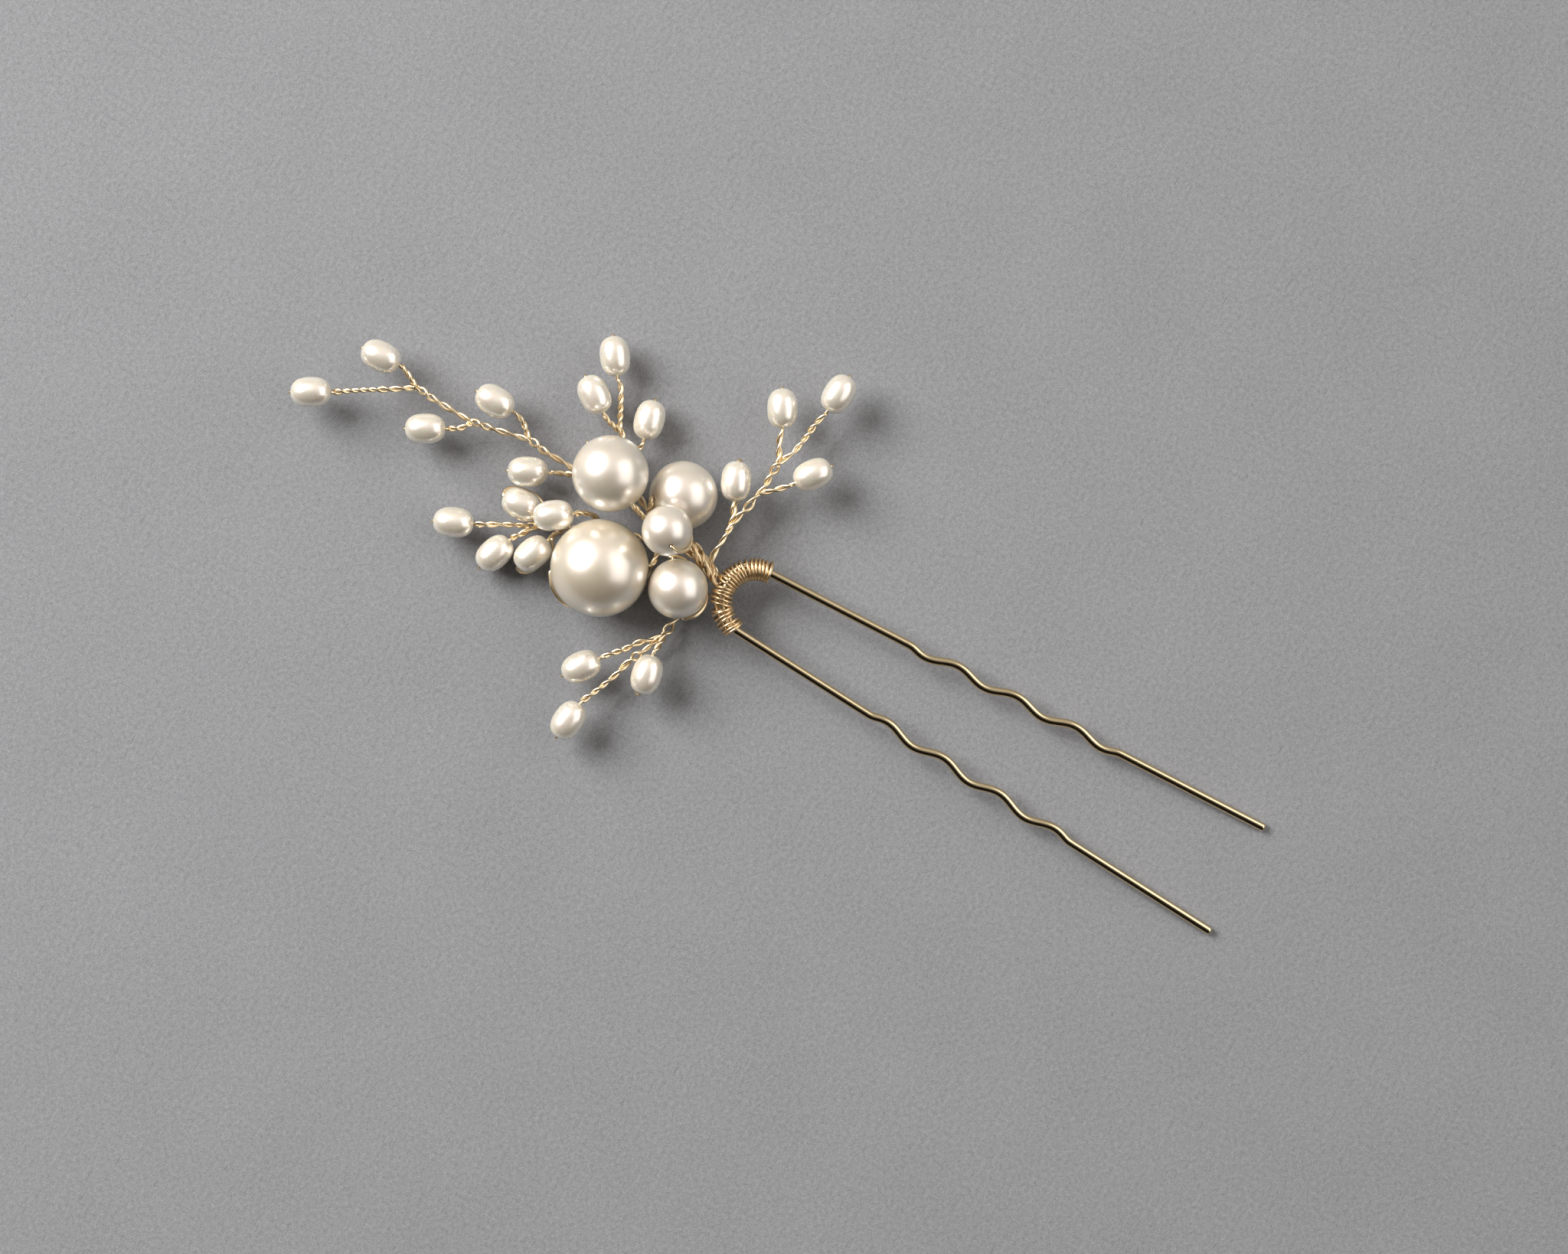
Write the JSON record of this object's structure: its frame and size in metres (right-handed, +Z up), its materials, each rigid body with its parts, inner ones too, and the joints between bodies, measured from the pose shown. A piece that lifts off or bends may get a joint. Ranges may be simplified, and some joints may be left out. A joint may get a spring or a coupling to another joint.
{
  "type": "decorative hair pin",
  "caption": "Two-legged wire hair pin with crimped legs, a wire-wrapped crown and fanned sprigs of ivory pearls on twisted gold wire.",
  "frame": {"origin": "centre of the bounding box in plan, on the table that the pin lies on", "axes": "+Y runs from the leg tips to the pearl sprigs, +X across the legs, +Z up from the table"},
  "size_m": [0.0574, 0.1324, 0.0139],
  "materials": {
    "hair_pin": "polished pale gold plating on spring wire",
    "crown_wrap_upper": "polished craft wire, a warmer brown gold where it is wound close",
    "crown_wrap_lower": "polished craft wire, a warmer brown gold where it is wound close",
    "stem_trunk": "polished light gold craft wire, twisted",
    "sprig_wire_left": "polished light gold craft wire, twisted",
    "sprig_wire_top": "polished light gold craft wire, twisted",
    "sprig_wire_right": "polished light gold craft wire, twisted",
    "sprig_wire_low_left": "polished light gold craft wire, twisted",
    "sprig_wire_bottom": "polished light gold craft wire, twisted",
    "round_pearl_largest": "ivory nacre with a soft pearly gloss and a pinkish overtone",
    "round_pearl_top": "ivory nacre with a soft pearly gloss and a pinkish overtone",
    "round_pearl_right": "ivory nacre with a soft pearly gloss and a pinkish overtone",
    "round_pearl_small": "ivory nacre with a soft pearly gloss and a pinkish overtone",
    "round_pearl_lower": "ivory nacre with a soft pearly gloss and a pinkish overtone",
    "rice_pearl_left_1": "ivory nacre with a soft pearly gloss and a pinkish overtone",
    "rice_pearl_left_2": "ivory nacre with a soft pearly gloss and a pinkish overtone",
    "rice_pearl_left_3": "ivory nacre with a soft pearly gloss and a pinkish overtone",
    "rice_pearl_left_4": "ivory nacre with a soft pearly gloss and a pinkish overtone",
    "rice_pearl_left_5": "ivory nacre with a soft pearly gloss and a pinkish overtone",
    "rice_pearl_top_1": "ivory nacre with a soft pearly gloss and a pinkish overtone",
    "rice_pearl_top_2": "ivory nacre with a soft pearly gloss and a pinkish overtone",
    "rice_pearl_top_3": "ivory nacre with a soft pearly gloss and a pinkish overtone",
    "rice_pearl_right_1": "ivory nacre with a soft pearly gloss and a pinkish overtone",
    "rice_pearl_right_2": "ivory nacre with a soft pearly gloss and a pinkish overtone",
    "rice_pearl_right_3": "ivory nacre with a soft pearly gloss and a pinkish overtone",
    "rice_pearl_right_4": "ivory nacre with a soft pearly gloss and a pinkish overtone",
    "rice_pearl_low_left_1": "ivory nacre with a soft pearly gloss and a pinkish overtone",
    "rice_pearl_low_left_2": "ivory nacre with a soft pearly gloss and a pinkish overtone",
    "rice_pearl_low_left_3": "ivory nacre with a soft pearly gloss and a pinkish overtone",
    "rice_pearl_low_left_4": "ivory nacre with a soft pearly gloss and a pinkish overtone",
    "rice_pearl_low_left_5": "ivory nacre with a soft pearly gloss and a pinkish overtone",
    "rice_pearl_bottom_1": "ivory nacre with a soft pearly gloss and a pinkish overtone",
    "rice_pearl_bottom_2": "ivory nacre with a soft pearly gloss and a pinkish overtone",
    "rice_pearl_bottom_3": "ivory nacre with a soft pearly gloss and a pinkish overtone"
  },
  "bodies": {
    "pin_and_wires": {"hair_pin": "hair_pin", "crown_wrap_upper": "crown_wrap_upper", "crown_wrap_lower": "crown_wrap_lower", "stem_trunk": "stem_trunk", "sprig_wire_left": "sprig_wire_left", "sprig_wire_top": "sprig_wire_top", "sprig_wire_right": "sprig_wire_right", "sprig_wire_low_left": "sprig_wire_low_left", "sprig_wire_bottom": "sprig_wire_bottom"},
    "round_pearl_largest_body": {"round_pearl_largest": "round_pearl_largest"},
    "round_pearl_top_body": {"round_pearl_top": "round_pearl_top"},
    "round_pearl_right_body": {"round_pearl_right": "round_pearl_right"},
    "round_pearl_small_body": {"round_pearl_small": "round_pearl_small"},
    "round_pearl_lower_body": {"round_pearl_lower": "round_pearl_lower"},
    "rice_pearl_left_1_body": {"rice_pearl_left_1": "rice_pearl_left_1"},
    "rice_pearl_left_2_body": {"rice_pearl_left_2": "rice_pearl_left_2"},
    "rice_pearl_left_3_body": {"rice_pearl_left_3": "rice_pearl_left_3"},
    "rice_pearl_left_4_body": {"rice_pearl_left_4": "rice_pearl_left_4"},
    "rice_pearl_left_5_body": {"rice_pearl_left_5": "rice_pearl_left_5"},
    "rice_pearl_top_1_body": {"rice_pearl_top_1": "rice_pearl_top_1"},
    "rice_pearl_top_2_body": {"rice_pearl_top_2": "rice_pearl_top_2"},
    "rice_pearl_top_3_body": {"rice_pearl_top_3": "rice_pearl_top_3"},
    "rice_pearl_right_1_body": {"rice_pearl_right_1": "rice_pearl_right_1"},
    "rice_pearl_right_2_body": {"rice_pearl_right_2": "rice_pearl_right_2"},
    "rice_pearl_right_3_body": {"rice_pearl_right_3": "rice_pearl_right_3"},
    "rice_pearl_right_4_body": {"rice_pearl_right_4": "rice_pearl_right_4"},
    "rice_pearl_low_left_1_body": {"rice_pearl_low_left_1": "rice_pearl_low_left_1"},
    "rice_pearl_low_left_2_body": {"rice_pearl_low_left_2": "rice_pearl_low_left_2"},
    "rice_pearl_low_left_3_body": {"rice_pearl_low_left_3": "rice_pearl_low_left_3"},
    "rice_pearl_low_left_4_body": {"rice_pearl_low_left_4": "rice_pearl_low_left_4"},
    "rice_pearl_low_left_5_body": {"rice_pearl_low_left_5": "rice_pearl_low_left_5"},
    "rice_pearl_bottom_1_body": {"rice_pearl_bottom_1": "rice_pearl_bottom_1"},
    "rice_pearl_bottom_2_body": {"rice_pearl_bottom_2": "rice_pearl_bottom_2"},
    "rice_pearl_bottom_3_body": {"rice_pearl_bottom_3": "rice_pearl_bottom_3"}
  },
  "joints": [
    {"name": "round_pearl_largest_spin", "type": "hinge", "parent": "pin_and_wires", "child": "round_pearl_largest_body", "pos_m": [-0.0075, 0.02188, 0.0061], "axis": [-0.5446, 0.8387, 0], "continuous": true},
    {"name": "round_pearl_top_spin", "type": "hinge", "parent": "pin_and_wires", "child": "round_pearl_top_body", "pos_m": [0.0032, 0.02638, 0.0083], "axis": [0.4067, 0.9135, 0], "continuous": true},
    {"name": "round_pearl_right_spin", "type": "hinge", "parent": "pin_and_wires", "child": "round_pearl_right_body", "pos_m": [0.0054, 0.01748, 0.0043], "axis": [0.509, -0.7006, -0.5], "continuous": true},
    {"name": "round_pearl_small_spin", "type": "hinge", "parent": "pin_and_wires", "child": "round_pearl_small_body", "pos_m": [0.0006, 0.01678, 0.0108], "axis": [-0.4731, -0.4731, 0.7431], "continuous": true},
    {"name": "round_pearl_lower_spin", "type": "hinge", "parent": "pin_and_wires", "child": "round_pearl_lower_body", "pos_m": [-0.0049, 0.01228, 0.0062], "axis": [-0.7771, -0.6293, 0], "continuous": true},
    {"name": "rice_pearl_left_1_spin", "type": "hinge", "parent": "pin_and_wires", "child": "rice_pearl_left_1_body", "pos_m": [0.0017, 0.05828, 0.0046], "axis": [-0.0872, 0.9962, 0], "continuous": true},
    {"name": "rice_pearl_left_2_spin", "type": "hinge", "parent": "pin_and_wires", "child": "rice_pearl_left_2_body", "pos_m": [-0.0064, 0.06358, 0.0046], "axis": [-0.5, 0.866, 0], "continuous": true},
    {"name": "rice_pearl_left_3_spin", "type": "hinge", "parent": "pin_and_wires", "child": "rice_pearl_left_3_body", "pos_m": [-0.0033, 0.04918, 0.004], "axis": [-0.5, 0.866, 0], "continuous": true},
    {"name": "rice_pearl_left_4_spin", "type": "hinge", "parent": "pin_and_wires", "child": "rice_pearl_left_4_body", "pos_m": [0.0039, 0.04338, 0.0045], "axis": [0, 1, 0], "continuous": true},
    {"name": "rice_pearl_left_5_spin", "type": "hinge", "parent": "pin_and_wires", "child": "rice_pearl_left_5_body", "pos_m": [-0.0016, 0.03558, 0.004], "axis": [-0.454, 0.891, 0], "continuous": true},
    {"name": "rice_pearl_top_1_spin", "type": "hinge", "parent": "pin_and_wires", "child": "rice_pearl_top_1_body", "pos_m": [0.0161, 0.03338, 0.0036], "axis": [0.809, 0.5878, 0], "continuous": true},
    {"name": "rice_pearl_top_2_spin", "type": "hinge", "parent": "pin_and_wires", "child": "rice_pearl_top_2_body", "pos_m": [0.0107, 0.03318, 0.004], "axis": [0.5592, 0.829, 0], "continuous": true},
    {"name": "rice_pearl_top_3_spin", "type": "hinge", "parent": "pin_and_wires", "child": "rice_pearl_top_3_body", "pos_m": [0.0114, 0.02578, 0.0034], "axis": [0.9703, 0.2419, 0], "continuous": true},
    {"name": "rice_pearl_right_1_spin", "type": "hinge", "parent": "pin_and_wires", "child": "rice_pearl_right_1_body", "pos_m": [0.0207, 0.01218, 0.005], "axis": [0.866, 0.5, 0], "continuous": true},
    {"name": "rice_pearl_right_2_spin", "type": "hinge", "parent": "pin_and_wires", "child": "rice_pearl_right_2_body", "pos_m": [0.0257, 0.00708, 0.005], "axis": [0.9986, -0.0523, 0], "continuous": true},
    {"name": "rice_pearl_right_3_spin", "type": "hinge", "parent": "pin_and_wires", "child": "rice_pearl_right_3_body", "pos_m": [0.0101, 0.01268, 0.005], "axis": [0.9063, 0.4226, 0], "continuous": true},
    {"name": "rice_pearl_right_4_spin", "type": "hinge", "parent": "pin_and_wires", "child": "rice_pearl_right_4_body", "pos_m": [0.0155, 0.00488, 0.0052], "axis": [0.8192, -0.5736, 0], "continuous": true},
    {"name": "rice_pearl_low_left_1_spin", "type": "hinge", "parent": "pin_and_wires", "child": "rice_pearl_low_left_1_body", "pos_m": [-0.0055, 0.03428, 0.0032], "axis": [-0.0872, 0.9962, 0], "continuous": true},
    {"name": "rice_pearl_low_left_2_spin", "type": "hinge", "parent": "pin_and_wires", "child": "rice_pearl_low_left_2_body", "pos_m": [-0.0047, 0.02998, 0.0064], "axis": [-0.5736, 0.8192, 0], "continuous": true},
    {"name": "rice_pearl_low_left_3_spin", "type": "hinge", "parent": "pin_and_wires", "child": "rice_pearl_low_left_3_body", "pos_m": [-0.0116, 0.04048, 0.0034], "axis": [-0.4226, 0.9063, 0], "continuous": true},
    {"name": "rice_pearl_low_left_4_spin", "type": "hinge", "parent": "pin_and_wires", "child": "rice_pearl_low_left_4_body", "pos_m": [-0.0124, 0.03418, 0.0032], "axis": [-0.9511, 0.309, 0], "continuous": true},
    {"name": "rice_pearl_low_left_5_spin", "type": "hinge", "parent": "pin_and_wires", "child": "rice_pearl_low_left_5_body", "pos_m": [-0.0101, 0.03008, 0.0034], "axis": [-0.9397, 0.342, 0], "continuous": true},
    {"name": "rice_pearl_bottom_1_spin", "type": "hinge", "parent": "pin_and_wires", "child": "rice_pearl_bottom_1_body", "pos_m": [-0.0192, 0.01788, 0.0042], "axis": [-0.8192, 0.5736, 0], "continuous": true},
    {"name": "rice_pearl_bottom_2_spin", "type": "hinge", "parent": "pin_and_wires", "child": "rice_pearl_bottom_2_body", "pos_m": [-0.016, 0.01038, 0.005], "axis": [-0.9781, -0.2079, 0], "continuous": true},
    {"name": "rice_pearl_bottom_3_spin", "type": "hinge", "parent": "pin_and_wires", "child": "rice_pearl_bottom_3_body", "pos_m": [-0.0257, 0.01598, 0.0044], "axis": [-0.9962, 0.0872, 0], "continuous": true}
  ]
}
